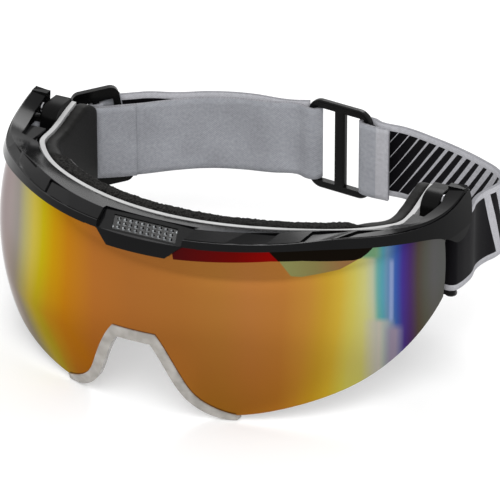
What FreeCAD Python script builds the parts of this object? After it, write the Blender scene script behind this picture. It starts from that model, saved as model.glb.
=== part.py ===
import FreeCAD, Part
import math
import os

from FreeCAD import Vector

# Nordic visor goggles, in millimetres. -Y is the front, Z up, and X the right as seen from
# the front, which is the wearer's left. Names with right and left are as seen from the front.
# The origin is the centre of the lens sphere, midway between the wearer's temples.

# ---- lens
LENS_RADIUS = 92.0          # outer face of the mirrored shield
DRAWN_RADIUS = 92.0         # lens radius at which the outlines in the side view are drawn
FRONT_CLEARANCE = 12.0      # cutters start this far in front of the lens
LENS_WALL = 1.8
LENS_TUCK = 0.7             # how far the lens reaches up behind the brow lip
LENS_REAR_Y = -22.8         # rear edge of the lens beside the temples, as drawn
LENS_TIP_X = 33.5           # half width of the nose cut-out at the bottom
LENS_BOTTOM_Z = -35.5       # lowest points of the lens, beside the nose
NOSE_TOP_X = 8.0
NOSE_TOP_Z = -4.0
TRIM_WIDTH = 3.2            # soft trim below the edge of the nose cut-out
TRIM_WALL = 2.8

# ---- brow shell
SHELL_STAND = 2.3           # outer face of the shell in front of the lens
SHELL_WALL = 2.0
SHELL_FIT = 0.2             # between the shell and what sits in it
LIP_HEIGHT = 2.5            # upright lip along the lower edge
RIDGE_Z = 35.0
BROW_EDGE_Z = 31.0          # lower edge of the lip at the front
NOTCH_WIDTH = 0.7           # shadow line between the lip and the sloping band
NOTCH_DEPTH = 0.8
FACET_DEPTH = 0.75          # deepest side of each slanted facet in the band
GRILLE_HALF_WIDTH = 12.5
GRILLE_SETBACK = 2.2        # from the rear of the recess to the grille
GRILLE_DEPTH = 7.8
GRILLE_SLANT = 1.5
RECESS_HALF_WIDTH = 18.5
RECESS_DEPTH = 1.6
RECESS_SETBACK = 15.6       # from the front of the lens to the rear of the recess
RECESS_FALL = 0.18          # fall of the recess floor per millimetre towards the lip
RECESS_FLOOR = 1.4
PLAQUE_DROP = 4.4           # plaque under the grille hangs below the lip by this
PLAQUE_LAP = 1.4            # how far it laps over the lens
PLAQUE_HALF_TOP = 17.0
PLAQUE_HALF_BOTTOM = 11.5

# ---- carrier and soft parts
CARRIER_STAND = 7.0         # plan arc of the carrier's front wall inside the lens radius
CARRIER_CENTRE_Y = 15.5
TEMPLE_INSET = 18.8         # carrier wall beside the temples inside the lens radius
CARRIER_BEND = 14.0
CARRIER_WALL = 1.8
CARRIER_REAR_Y = -3.5
CARRIER_TOP_Z = 31.8
CARRIER_BROW_DEPTH = 15.0   # height of the carrier wall over the brow
TEMPLE_BOTTOM_Z = -4.0
FOAM_THICKNESS = 6.0
FOAM_END_Y = -38.0
LINING_THICKNESS = 0.9
PAD_THICKNESS = 5.0
PAD_REAR_Y = 4.0
PAD_FALL = 5.2              # fall of the pad's top behind the end of the carrier
SEAT_GAP = 0.1              # between soft parts and what carries them

# ---- hinge of the flip-up visor
BODY_GAP = 0.5              # between the visor and the carrier
HINGE_Y = -11.0
HINGE_Z = 30.1
PIN_RADIUS = 1.2
PIN_CLEARANCE = 0.05
PIN_REACH = 4.2             # how far each end of the pin goes into the lug and the block
LUG_RADIUS = 2.4
LUG_STAND = 1.2             # from the temple block to the lug
WASHER_THICKNESS = 0.5
BLOCK_WIDTH = 7.0           # carrier wall to the outer face of the temple block
BLOCK_FRONT_Y = -21.0
BLOCK_TOP_Z = 32.3
FIN_FLOOR_Z = 26.5          # underside of the floor that closes the fin in front of the hinge
FIN_FLOOR = 1.4
FIN_FLOOR_REAR_Y = -16.6
FIN_FLANGE_Y = 2.6          # from the hinge to the flange that closes the fin at the rear
FIN_FLANGE_Z = 0.9          # from the hinge up to the flange's lower edge

# ---- strap, its bars, connector and slider
STRAP_WIDTH = 28.5
STRAP_BOTTOM_Z = -3.2
STRAP_THICKNESS = 1.3
STRAP_GAP = 0.15
STRAP_DRAWN_X = 84.0        # bar position at which the plan paths of the straps are drawn
BAR_STAND = 3.8             # from the temple block to the strap bar
BAR_Y = -11.3
BAR_RADIUS = 1.6
ARM_THICKNESS = 1.5
ARM_GAP = 0.4               # between an arm and the edge of the webbing
CONNECTOR_X = 12.6
CONNECTOR_Y = 43.6
CONNECTOR_LENGTH = 27.0
CONNECTOR_HEIGHT = 35.5
CONNECTOR_BAR = 3.2
CONNECTOR_MIDDLE = 4.4      # middle bar
CONNECTOR_CORNER = 5.5
CONNECTOR_THICKNESS = 2.6
CONNECTOR_TILT = -6.0       # degrees about Z
SLIDER_DRAWN_X = -69.3
SLIDER_Y = 11.8
SLIDER_LENGTH = 18.0
SLIDER_HEIGHT = 39.0
SLIDER_BAR = 2.6
SLIDER_THICKNESS = 2.4
SLIDER_TURN = 38.0          # degrees about Z, along the strap behind the temple
SLIDER_TILT = 9.0           # degrees that it hangs askew in its own plane

SHELL_RADIUS = LENS_RADIUS + SHELL_STAND
SHELL_INNER = LENS_RADIUS + SHELL_FIT
LENS_INNER = LENS_RADIUS - LENS_WALL
FRONT_Y = -LENS_RADIUS - FRONT_CLEARANCE
RECESS_REAR_Y = RECESS_SETBACK - LENS_RADIUS
CARRIER_RADIUS = LENS_RADIUS - CARRIER_STAND
CARRIER_HALF_WIDTH = LENS_RADIUS - TEMPLE_INSET
BLOCK_OUTER_X = CARRIER_HALF_WIDTH + BLOCK_WIDTH
LUG_INNER_X = BLOCK_OUTER_X + LUG_STAND
BAR_X = BLOCK_OUTER_X + BAR_STAND
SLIDER_X = SLIDER_DRAWN_X * BAR_X / STRAP_DRAWN_X
STRAP_TOP_Z = STRAP_BOTTOM_Z + STRAP_WIDTH
STRAP_MID_Z = STRAP_BOTTOM_Z + STRAP_WIDTH / 2


# ---------------------------------------------------------------- helpers
def save(name, *solids):
    """Write one node: a single solid, or a group of separate ones."""
    shape = solids[0] if len(solids) == 1 else Part.makeCompound(list(solids))
    shape.exportStep("parts/%s.step" % name)
    made = shape.Solids
    print("%-22s solids %d  valid %s  volume %9.1f"
          % (name, len(made), shape.isValid(), sum(s.Volume for s in made)))


def mirrored(shape):
    return shape.mirror(Vector(0, 0, 0), Vector(1, 0, 0))


def curve(points):
    spline = Part.BSplineCurve()
    spline.interpolate([Vector(*p) for p in points])
    return spline


def closed_face(edges):
    return Part.Face(Part.Wire(Part.__sortEdges__(edges)))


def side_view(points):
    """Places in the side view, given as drawn and set out for the lens radius."""
    return [(0, y * LENS_RADIUS / DRAWN_RADIUS, z) for y, z in points]


def polygon_face(points):
    corners = [Vector(*p) for p in points]
    return Part.Face(Part.makePolygon(corners + corners[:1]))


def along_x(profile_edges):
    """Prism across the whole width from edges drawn in the side view."""
    half_width = -1.25 * FRONT_Y
    face = closed_face(profile_edges)
    prism = face.extrude(Vector(2 * half_width, 0, 0))
    prism.translate(Vector(-half_width, 0, 0))
    return prism


def sphere_shell(inner, outer):
    return Part.makeSphere(outer).cut(Part.makeSphere(inner))


def one_solid(shape):
    return max(shape.Solids, key=lambda s: s.Volume)


# ---------------------------------------------------------------- side-view curves
def lip_points(rise=0.0):
    """Lower edge of the brow shell in the side view, front to rear."""
    drops = [(-104, 0), (-84, 0), (-66, 0.4), (-54, 2.3), (-44, 3.9), (-36, 5.2), (-27, 7.3),
             (-21.5, 10.2)]
    return side_view([(y, BROW_EDGE_Z - drop + rise) for y, drop in drops])


def shell_side_prism():
    """Leaf outline of the shell and its fins in the side view."""
    lower = curve(lip_points())
    tip = lip_points()[-1]
    top_z = RIDGE_Z + 5
    rear = [tip] + side_view([(-18.4, tip[2] - 1.3), (-14.5, tip[2] - 0.4), (-11.0, tip[2] + 1.9),
                              (-7.9, tip[2] + 5.8), (-6.0, tip[2] + 10.2), (-5.6, tip[2] + 13.7),
                              (-6.4, top_z)])
    start = Vector(*lip_points()[0])
    top_front, top_rear = Vector(0, start.y, top_z), Vector(*rear[-1])
    return along_x([lower.toShape(), curve(rear).toShape(),
                    Part.makeLine(top_rear, top_front), Part.makeLine(top_front, start)])


def lens_side_prism():
    """Outline of the lens in the side view: under the lip, down to the cheeks."""
    lip = lip_points(LENS_TUCK)
    corner, low_rear = side_view([(LENS_REAR_Y, lip[-1][2] - 1.0), (LENS_REAR_Y - 3.6, 0.9)])
    lower = [low_rear] + side_view([(-33.2, -6.4), (-44, -16.2), (-57, -25.2), (-70, -31.6),
                                    (-78, LENS_BOTTOM_Z + 0.3), (-86, LENS_BOTTOM_Z - 1.0)])
    front_low = (0, lip[0][1], lower[-1][2])
    straight = [(lip[-1], corner), (corner, low_rear), (lower[-1], front_low), (front_low, lip[0])]
    return along_x([curve(lip).toShape(), curve(lower).toShape()]
                   + [Part.makeLine(Vector(*a), Vector(*b)) for a, b in straight])


def nose_edges(inset):
    """Half outline of the nose cut-out seen from the front; inset moves it to the trim's edge."""
    i = inset
    return [(NOSE_TOP_X - 0.45 * i, NOSE_TOP_Z - i), (12.6 - 0.85 * i, -11.5 - 0.4 * i),
            (16.4 - 0.9 * i, -20.0 - 0.3 * i), (20.4 - 0.8 * i, -27.6 - 0.5 * i),
            (26.0 - 0.4 * i, -32.6 - 0.85 * i), (LENS_TIP_X, LENS_BOTTOM_Z - 0.6 * i)]


def nose_prism(inset=0.0, depth=-40.0):
    """Space of the nose cut-out, from the front inwards."""
    right = [(x, FRONT_Y, z) for x, z in nose_edges(inset)]
    left = [(-x, y, z) for x, y, z in right]
    floor_z = LENS_BOTTOM_Z - 20
    low_right, low_left = (right[-1][0], FRONT_Y, floor_z), (left[-1][0], FRONT_Y, floor_z)
    straight = [(left[0], right[0]), (right[-1], low_right), (left[-1], low_left), (low_left, low_right)]
    edges = [Part.makeLine(Vector(*a), Vector(*b)) for a, b in straight]
    edges += [curve(right).toShape(), curve(left).toShape()]
    return closed_face(edges).extrude(Vector(0, depth - FRONT_Y, 0))


# ---------------------------------------------------------------- plan curves
def carrier_band(outset, thickness, rear_y=CARRIER_REAR_Y):
    """Upright band along the carrier's path, its outer face moved out by outset."""
    tall = 2 * CARRIER_TOP_Z

    def outline(offset):
        half = CARRIER_HALF_WIDTH + offset
        radius = CARRIER_RADIUS + offset
        body = Part.makeBox(2 * half, -2 * FRONT_Y, 2 * tall, Vector(-half, FRONT_Y, -tall))
        disc = Part.makeCylinder(radius, 2 * tall, Vector(0, CARRIER_CENTRE_Y, -tall))
        common = one_solid(body.common(disc))
        corner_y = CARRIER_CENTRE_Y - math.sqrt(radius ** 2 - half ** 2)
        corners = [e for e in common.Edges
                   if len(e.Vertexes) == 2
                   and abs(e.Vertexes[0].Y - corner_y) < 0.1 and abs(e.Vertexes[1].Y - corner_y) < 0.1
                   and abs(e.Vertexes[0].Z - e.Vertexes[1].Z) > tall]
        return common.makeFillet(CARRIER_BEND + offset, corners)
    band = outline(outset).cut(outline(outset - thickness))
    keep = Part.makeBox(-2 * FRONT_Y, rear_y - FRONT_Y, 2 * tall, Vector(FRONT_Y, FRONT_Y, -tall))
    return one_solid(band.common(keep))


def carrier_side_prism(top_drop=0.0, bottom_rise=0.0, rear_y=PAD_REAR_Y + 10):
    """Height of the carrier and its padding in the side view."""
    drops = [(-104, 0), (-70, 0), (-58, 1.0), (-44, 3.3), (-30, 4.9), (-18, 4.6), (-10, 2.2), (-3, 0.5)]
    top = side_view([(y, CARRIER_TOP_Z - drop - top_drop) for y, drop in drops])
    low = CARRIER_TOP_Z - CARRIER_BROW_DEPTH + bottom_rise
    cheek = TEMPLE_BOTTOM_Z + bottom_rise
    bottom = side_view([(-104, low), (-66, low), (-56, low - 1.5), (-47, low - 7), (-38, low - 15),
                        (-28, cheek + 1.2), (-16, cheek)])
    top, bottom = top + [(0, rear_y, CARRIER_TOP_Z - top_drop)], bottom + [(0, rear_y, cheek)]
    return along_x([curve(top).toShape(), curve(bottom).toShape(),
                    Part.makeLine(Vector(*top[0]), Vector(*bottom[0])),
                    Part.makeLine(Vector(*top[-1]), Vector(*bottom[-1]))])


# ---------------------------------------------------------------- visor
def brow_section(angle, ridge_inset, ridge_z, inner_z):
    """Corners of the brow shell's section in the upright plane at one plan angle."""
    phi = math.radians(angle)
    low_z = 14.0
    groove_z = min(ridge_z - 0.9, BROW_EDGE_Z + LIP_HEIGHT)
    mid_z = (low_z + groove_z) / 2
    inner_rho = (-CARRIER_CENTRE_Y * math.cos(phi) + BODY_GAP
                 + math.sqrt(CARRIER_RADIUS ** 2 - (CARRIER_CENTRE_Y * math.sin(phi)) ** 2))
    if abs(angle) > 60:
        inner_rho = min(inner_rho, (LUG_INNER_X - 1.0) / abs(math.sin(phi)))

    def rho(radius, z):
        return math.sqrt(radius ** 2 - z ** 2)

    sheet = SHELL_WALL - 0.5
    groove_rho, ridge_rho = rho(SHELL_RADIUS, groove_z), rho(SHELL_RADIUS, ridge_z) - ridge_inset
    share = NOTCH_WIDTH / math.hypot(groove_rho - ridge_rho, ridge_z - groove_z)
    share = min(share, 0.6)
    depth = NOTCH_DEPTH * min(1.0, ridge_inset / 2.6)
    above_notch = (groove_rho + (ridge_rho - groove_rho) * share, groove_z + (ridge_z - groove_z) * share)
    outer = [(rho(SHELL_RADIUS, low_z), low_z), (rho(SHELL_RADIUS, mid_z), mid_z),
             (groove_rho, groove_z), (groove_rho - share * 0.5 - depth, groove_z), above_notch,
             (ridge_rho, ridge_z), (inner_rho, inner_z)]
    inner = [(inner_rho, inner_z - sheet),
             (ridge_rho - 1.0, ridge_z - sheet - 0.2),
             (rho(SHELL_INNER, groove_z - sheet), groove_z - sheet),
             (rho(SHELL_INNER, mid_z), mid_z), (rho(SHELL_INNER, low_z), low_z)]
    return [Vector(r * math.sin(phi), -r * math.cos(phi), z) for r, z in outer + inner]


# Plan angle, inset of the ridge from the outer face, rise of the ridge and of the inner edge.
BROW_STATIONS = [(0, 6.0, 0.0, 0.0), (12, 6.0, 0.0, 0.0), (24, 6.0, 0.0, -0.2),
                 (36, 5.9, -0.1, -0.7), (45, 5.4, -0.6, -1.5), (53, 4.3, -1.9, -2.7),
                 (60, 2.6, -3.2, -3.9), (67, 1.1, -4.0, -4.2), (74, 0.6, -3.9, -2.7),
                 (80, 0.5, -2.6, -0.6), (85, 0.5, -0.4, 2.2), (89, 0.5, 1.4, 3.6)]


# Slanted facets of the band: plan angles at the notch and at the ridge of the shallow side,
# and the same of the deep side.
FACETS = [((20.5, 25.5), (30.0, 33.8)), ((45.3, 52.0), (37.6, 41.8)), ((57.5, 59.5), (46.2, 53.0))]


def brow_rails():
    """Lines through the corners of the sections, with the plan angle as their parameter."""
    stations = [(-a, i, r, e) for a, i, r, e in BROW_STATIONS[:0:-1]] + BROW_STATIONS
    sections = [brow_section(a, i, RIDGE_Z + r, CARRIER_TOP_Z + e) for a, i, r, e in stations]
    rails = []
    for corner in zip(*sections):
        rail = Part.BSplineCurve()
        rail.interpolate(Points=list(corner), Parameters=[float(s[0]) for s in stations])
        rails.append(rail)
    return rails, sections


def facet_cutter(notch_rail, ridge_rail, shallow, deep):
    """Wedge over the band between two slanted creases, its floor falling towards the deep one."""
    wires = []
    for (notch_angle, ridge_angle), depth in ((shallow, 0.0), (deep, FACET_DEPTH)):
        low, high = notch_rail.value(notch_angle), ridge_rail.value(ridge_angle)
        rise = high - low
        out = notch_rail.tangent(notch_angle)[0].cross(rise).normalize()
        if out.z < 0:
            out = out * -1
        low, high = low - rise * 0.02, high - rise * 0.06
        corners = [low - out * depth, high - out * depth, high + out * 2, low + out * 2]
        wires.append(Part.makePolygon(corners + corners[:1]))
    return Part.makeLoft(wires, True, True)


def brow_body(rails, sections):
    """Whole brow shell before its outline is cut: strips between rails that run round the brow."""
    edges = [rail.toShape() for rail in rails]
    faces = [Part.makeRuledSurface(edges[k], edges[(k + 1) % len(edges)]) for k in range(len(edges))]
    for section in (sections[0], sections[-1]):
        faces.append(Part.Face(Part.makePolygon(section + section[:1])))
    shell = Part.makeShell(faces)
    shell.sewShape()
    solid = Part.makeSolid(shell)
    if solid.Volume < 0:
        solid.reverse()
    return solid


def hinge_hollow():
    """Open pocket between the fin and the temple block, where the hinge sits."""
    inner = CARRIER_HALF_WIDTH - 20
    front_y = -32.0
    points = [(inner, front_y), (LUG_INNER_X - 3.4, front_y), (LUG_INNER_X - 2.1, front_y + 6),
              (LUG_INNER_X, -16), (LUG_INNER_X, 10), (inner, 10)]
    return polygon_face([(x, y, -20) for x, y in points]).extrude(Vector(0, 0, 80))


def fin_floor():
    """Web that closes the fin from below in front of the hinge."""
    front_y = -33.0
    inner_x, block_y = CARRIER_HALF_WIDTH + BODY_GAP + 0.1, BLOCK_FRONT_Y - BODY_GAP - 0.3
    points = [(inner_x, front_y), (LUG_INNER_X + 20, front_y),
              (LUG_INNER_X + 20, FIN_FLOOR_REAR_Y), (LUG_INNER_X, FIN_FLOOR_REAR_Y),
              (LUG_INNER_X, block_y), (inner_x, block_y)]
    slab = polygon_face([(x, y, FIN_FLOOR_Z) for x, y in points]).extrude(Vector(0, 0, FIN_FLOOR))
    return one_solid(slab.common(Part.makeSphere(SHELL_RADIUS - 0.3)))


def fin_flange():
    """Upright web that closes the gap between the fin and the temple block behind the hinge."""
    start = Vector(BLOCK_OUTER_X + BODY_GAP + 0.1, HINGE_Y + FIN_FLANGE_Y, HINGE_Z + FIN_FLANGE_Z)
    web = Part.makeBox(20, 10, RIDGE_Z - start.z - 0.3, start)
    return one_solid(web.common(Part.makeSphere(SHELL_RADIUS - 0.3)).common(shell_side_prism()))


def hinge_lug():
    """Boss on the inside of the fin that turns on the pin."""
    fin_inside = math.sqrt(SHELL_INNER ** 2 - HINGE_Y ** 2 - HINGE_Z ** 2)
    length = fin_inside + SHELL_WALL / 2 - LUG_INNER_X
    return Part.makeCylinder(LUG_RADIUS, length, Vector(LUG_INNER_X, HINGE_Y, HINGE_Z), Vector(1, 0, 0))


def pin_bore():
    return Part.makeCylinder(PIN_RADIUS + PIN_CLEARANCE, PIN_REACH + 1.4,
                             Vector(LUG_INNER_X - 1, HINGE_Y, HINGE_Z), Vector(1, 0, 0))


def plaque():
    """Bare plate that hangs from the lip below the grille."""
    top, bottom = BROW_EDGE_Z + 0.4, BROW_EDGE_Z - PLAQUE_DROP
    points = [(-PLAQUE_HALF_TOP, top), (PLAQUE_HALF_TOP, top), (PLAQUE_HALF_BOTTOM, bottom),
              (-PLAQUE_HALF_BOTTOM, bottom)]
    prism = polygon_face([(x, FRONT_Y, z) for x, z in points]).extrude(Vector(0, LENS_RADIUS / 2, 0))
    return one_solid(prism.common(sphere_shell(SHELL_INNER, SHELL_RADIUS)))


def recess_plane(y):
    """Height of the recess floor at one depth: it falls towards the lip."""
    return RIDGE_Z - RECESS_DEPTH + (RECESS_REAR_Y - y) * -RECESS_FALL


def recess_slab(above, below, front_y, half_rear, half_front):
    """Sloping slab parallel to the recess floor, tapering in plan towards the front."""
    rear = RECESS_REAR_Y
    side = [(rear, recess_plane(rear) + above), (front_y, recess_plane(front_y) + above),
            (front_y, recess_plane(front_y) - below), (rear, recess_plane(rear) - below)]
    slab = polygon_face([(-2 * half_rear, y, z) for y, z in side]).extrude(Vector(4 * half_rear, 0, 0))
    plan = [(-half_rear, rear), (half_rear, rear), (half_front, front_y), (-half_front, front_y)]
    keep = polygon_face([(x, y, 0) for x, y in plan]).extrude(Vector(0, 0, 2 * RIDGE_Z))
    return one_solid(slab.common(keep))


def lens_notch():
    """Cut in the top edge of the lens that clears the recess floor, hidden by the plaque."""
    low = BROW_EDGE_Z - PLAQUE_DROP + PLAQUE_LAP
    wide, edge_z = RECESS_HALF_WIDTH + 1.6, BROW_EDGE_Z + 0.05
    half = [(wide, 2 * RIDGE_Z), (wide, edge_z), (PLAQUE_HALF_TOP + 0.1, edge_z),
            (PLAQUE_HALF_TOP - 0.6, edge_z - 0.75), (PLAQUE_HALF_BOTTOM + 0.6, low)]
    points = half + [(-x, z) for x, z in half[::-1]]
    return polygon_face([(x, FRONT_Y, z) for x, z in points]).extrude(Vector(0, LENS_RADIUS / 2, 0))


def lip_trimmer():
    """Space beside the plaque, under the lip, that the recess floor may not fill."""
    bottom, top = BROW_EDGE_Z - PLAQUE_DROP, BROW_EDGE_Z + 0.1
    points = [(PLAQUE_HALF_TOP, top), (RECESS_HALF_WIDTH + 3.5, top), (RECESS_HALF_WIDTH + 3.5, bottom),
              (PLAQUE_HALF_BOTTOM, bottom)]
    side = polygon_face([(x, FRONT_Y, z) for x, z in points]).extrude(Vector(0, LENS_RADIUS / 4, 0))
    return [side, mirrored(side)]


def grille_outline(margin):
    """Slanted slot in plan that holds the grille."""
    rear = RECESS_REAR_Y - GRILLE_SETBACK - margin
    front = RECESS_REAR_Y - GRILLE_SETBACK - GRILLE_DEPTH + margin
    half, slant = GRILLE_HALF_WIDTH - margin, GRILLE_SLANT
    points = [(-half - slant, rear), (half - slant, rear), (half + slant, front), (-half + slant, front)]
    slot = polygon_face([(x, y, BROW_EDGE_Z - 10) for x, y in points])
    return slot.extrude(Vector(0, 0, 25))


def visor_shell():
    rails, sections = brow_rails()
    whole = one_solid(brow_body(rails, sections).common(shell_side_prism()))
    for shallow, deep in FACETS:
        wedge = facet_cutter(rails[4], rails[5], shallow, deep)
        whole = whole.cut(wedge).cut(mirrored(wedge))
    whole = one_solid(whole)
    front_y = -SHELL_RADIUS
    whole = whole.cut(recess_slab(12.0, 0.0, front_y, RECESS_HALF_WIDTH, RECESS_HALF_WIDTH - 3.0))
    floor = recess_slab(0.0, RECESS_FLOOR, front_y, RECESS_HALF_WIDTH + 0.8, PLAQUE_HALF_TOP - 1.2)
    floor = one_solid(floor.common(Part.makeSphere(SHELL_RADIUS - 0.3)))
    hollow = hinge_hollow()
    whole = whole.cut(hollow).cut(mirrored(hollow))
    webs = [hinge_lug(), fin_floor(), fin_flange()]
    whole = one_solid(whole).fuse(webs + [mirrored(web) for web in webs] + [plaque(), floor])
    bore = pin_bore()
    whole = whole.cut([bore, mirrored(bore), grille_outline(0.0)] + lip_trimmer())
    return one_solid(whole.removeSplitter())


def vent_grille():
    """Thin mesh plate with three staggered rows of diamond holes, seated in its slot."""
    plate = recess_slab(-0.3, RECESS_FLOOR, -SHELL_RADIUS, RECESS_HALF_WIDTH, RECESS_HALF_WIDTH)
    plate = one_solid(plate.common(grille_outline(0.1)))
    pitch, rows, columns = 2.3, 3, 10
    hole_x, hole_y = 0.95, 1.05
    middle_y = RECESS_REAR_Y - GRILLE_SETBACK - GRILLE_DEPTH / 2
    holes = []
    for row in range(rows):
        y = middle_y + (row - 1) * pitch
        for column in range(columns):
            x = (column - (columns - 1) / 2) * pitch - (row - 1) * 0.9
            corners = [(x - hole_x, y), (x, y - hole_y), (x + hole_x, y), (x, y + hole_y)]
            diamond = polygon_face([(a, b, RIDGE_Z - 10) for a, b in corners])
            holes.append(diamond.extrude(Vector(0, 0, 12)))
    return one_solid(plate.cut(holes))


def lens():
    shell = sphere_shell(LENS_INNER, LENS_RADIUS)
    return one_solid(shell.common(lens_side_prism()).cut(nose_prism()).cut(lens_notch()))


def nose_trim(lens_solid):
    """Soft U-shaped strip pushed over the edge of the nose cut-out."""
    overlap = 1.6
    middle = (LENS_RADIUS + LENS_INNER) / 2
    strip = sphere_shell(middle - TRIM_WALL / 2, middle + TRIM_WALL / 2)
    outer = nose_prism(-overlap * 0.6)
    inner = nose_prism(TRIM_WIDTH)
    sides = Part.makeBox(2 * LENS_TIP_X, LENS_RADIUS, LENS_RADIUS,
                         Vector(-LENS_TIP_X, FRONT_Y, LENS_BOTTOM_Z - 2.8))
    body = strip.common(outer).cut(inner).common(sides)
    return one_solid(body.cut(lens_solid))


def lens_retainer():
    """Thin strip behind the top edge of the lens that clamps it in the shell."""
    outer = LENS_INNER - 0.1
    strip = sphere_shell(outer - 1.4, outer)
    lower = curve(lip_points(-2.4))
    upper = curve(lip_points(LENS_TUCK - 0.5))
    band = along_x([lower.toShape(), upper.toShape(),
                    Part.makeLine(Vector(*lip_points(-2.4)[0]), Vector(*lip_points(LENS_TUCK - 0.5)[0])),
                    Part.makeLine(Vector(*lip_points(-2.4)[-1]),
                                  Vector(*lip_points(LENS_TUCK - 0.5)[-1]))])
    front = Part.makeBox(-2 * FRONT_Y, 0.65 * LENS_RADIUS, 100, Vector(FRONT_Y, FRONT_Y, -20))
    halves = strip.common(band).common(front).cut(lens_notch())
    return halves.Solids


def hinge_pin():
    start = BLOCK_OUTER_X - PIN_REACH
    return Part.makeCylinder(PIN_RADIUS, LUG_INNER_X + PIN_REACH - start,
                             Vector(start, HINGE_Y, HINGE_Z), Vector(1, 0, 0))


def friction_washer():
    """Spring washer between block and lug that holds the raised visor."""
    ring = Part.makeCylinder(LUG_RADIUS - 0.3, WASHER_THICKNESS,
                             Vector(BLOCK_OUTER_X + SEAT_GAP, HINGE_Y, HINGE_Z), Vector(1, 0, 0))
    hole = Part.makeCylinder(PIN_RADIUS + PIN_CLEARANCE, 4,
                             Vector(BLOCK_OUTER_X - 1, HINGE_Y, HINGE_Z), Vector(1, 0, 0))
    return ring.cut(hole)


# ---------------------------------------------------------------- carrier
def carrier_frame():
    return one_solid(carrier_band(0.0, CARRIER_WALL).common(carrier_side_prism()))


def block_profile():
    """Side view of the temple block: a round-topped post over a wider foot."""
    low = TEMPLE_BOTTOM_Z + 0.5
    top = [(CARRIER_REAR_Y, BLOCK_TOP_Z), (CARRIER_REAR_Y - 3.5, BLOCK_TOP_Z + 0.1),
           (HINGE_Y, BLOCK_TOP_Z - 0.2), (HINGE_Y - 2.6, BLOCK_TOP_Z - 1.6), (HINGE_Y - 4.4, BLOCK_TOP_Z - 5.0)]
    front = [(HINGE_Y - 4.4, BLOCK_TOP_Z - 5.0), (HINGE_Y - 5.2, BLOCK_TOP_Z - 9.0),
             (BLOCK_FRONT_Y + 2.6, BLOCK_TOP_Z - 13.0), (BLOCK_FRONT_Y, BLOCK_TOP_Z - 18.0)]
    corners = [front[-1], (BLOCK_FRONT_Y, low), (CARRIER_REAR_Y, low), top[0]]
    edges = [curve([(0, y, z) for y, z in line]).toShape() for line in (top, front)]
    for (y0, z0), (y1, z1) in zip(corners, corners[1:]):
        edges.append(Part.makeLine(Vector(0, y0, z0), Vector(0, y1, z1)))
    return closed_face(edges)


def temple_block():
    """Black block outside the carrier wall: it holds the hinge pin and the strap bar's arms."""
    inner_x = CARRIER_HALF_WIDTH + SEAT_GAP
    body = block_profile().extrude(Vector(BLOCK_OUTER_X - inner_x, 0, 0))
    body.translate(Vector(inner_x, 0, 0))
    outer_edges = [e for e in body.Edges
                   if all(abs(v.X - BLOCK_OUTER_X) < 0.01 for v in e.Vertexes)
                   and max(v.Z for v in e.Vertexes) > 0]
    body = body.makeFillet(0.8, outer_edges)
    arm_reach = BAR_X + BAR_RADIUS + 0.6 - BLOCK_OUTER_X + 1.0
    arm_depth = 4.6
    arm_y = BAR_Y - 2.9
    low_z = STRAP_BOTTOM_Z - ARM_GAP - ARM_THICKNESS
    upper = Part.makeBox(arm_reach, arm_depth, ARM_THICKNESS,
                         Vector(BLOCK_OUTER_X - 1.0, arm_y, STRAP_TOP_Z + ARM_GAP))
    lower = Part.makeBox(arm_reach, arm_depth, ARM_THICKNESS, Vector(BLOCK_OUTER_X - 1.0, arm_y, low_z))
    foot = Part.makeBox(4.5, arm_depth + 3, ARM_THICKNESS + 1.5,
                        Vector(BLOCK_OUTER_X - 4.5, arm_y - 1.5, low_z))
    arms = [rounded_arm(arm) for arm in (upper, lower)]
    body = body.fuse(arms + [foot])
    pin_hole = Part.makeCylinder(PIN_RADIUS, BLOCK_WIDTH + 20,
                                 Vector(BLOCK_OUTER_X - PIN_REACH, HINGE_Y, HINGE_Z), Vector(1, 0, 0))
    bar_hole = Part.makeCylinder(BAR_RADIUS, 2 * STRAP_WIDTH, Vector(BAR_X, BAR_Y, low_z - 10))
    return one_solid(body.cut(pin_hole).cut(bar_hole).removeSplitter())


def rounded_arm(arm):
    """Arm with its two free upright corners rounded."""
    reach = arm.BoundBox.XMax
    corners = [e for e in arm.Edges if all(abs(v.X - reach) < 0.01 for v in e.Vertexes)
               and abs(e.Vertexes[0].Z - e.Vertexes[1].Z) > 0.5]
    return arm.makeFillet(2.0, corners)


def strap_bar():
    """Upright steel rod with a domed head below, pressed through both arms."""
    low = STRAP_BOTTOM_Z - ARM_GAP - ARM_THICKNESS
    top = STRAP_TOP_Z + ARM_GAP + ARM_THICKNESS
    rod = Part.makeCylinder(BAR_RADIUS, top - low, Vector(BAR_X, BAR_Y, low))
    head = Part.makeCylinder(BAR_RADIUS + 0.6, 1.1, Vector(BAR_X, BAR_Y, low - 1.1))
    head = head.makeFillet(0.6, [e for e in head.Edges if max(v.Z for v in e.Vertexes) < low - 1.0])
    return rod.fuse(head).removeSplitter()


def temple_screw():
    """Countersunk screw from inside the carrier wall into the block."""
    inner = CARRIER_HALF_WIDTH - CARRIER_WALL
    head = Part.makeCone(2.0, 1.0, 1.0, Vector(inner, 0, 0), Vector(1, 0, 0))
    shank = Part.makeCylinder(1.0, 4.2, Vector(inner + 1.0, 0, 0), Vector(1, 0, 0))
    return head.fuse(shank).removeSplitter()


def screw_places():
    return [Vector(0, -14.0, 15.0), Vector(0, -9.0, 5.0)]


def brow_foam():
    band = carrier_band(-CARRIER_WALL - SEAT_GAP, FOAM_THICKNESS, FOAM_END_Y)
    return one_solid(band.common(carrier_side_prism(-0.7, 0.6)))


def face_lining():
    band = carrier_band(-CARRIER_WALL - 2 * SEAT_GAP - FOAM_THICKNESS, LINING_THICKNESS, FOAM_END_Y)
    return one_solid(band.common(carrier_side_prism(0.4, 1.4)))


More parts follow.
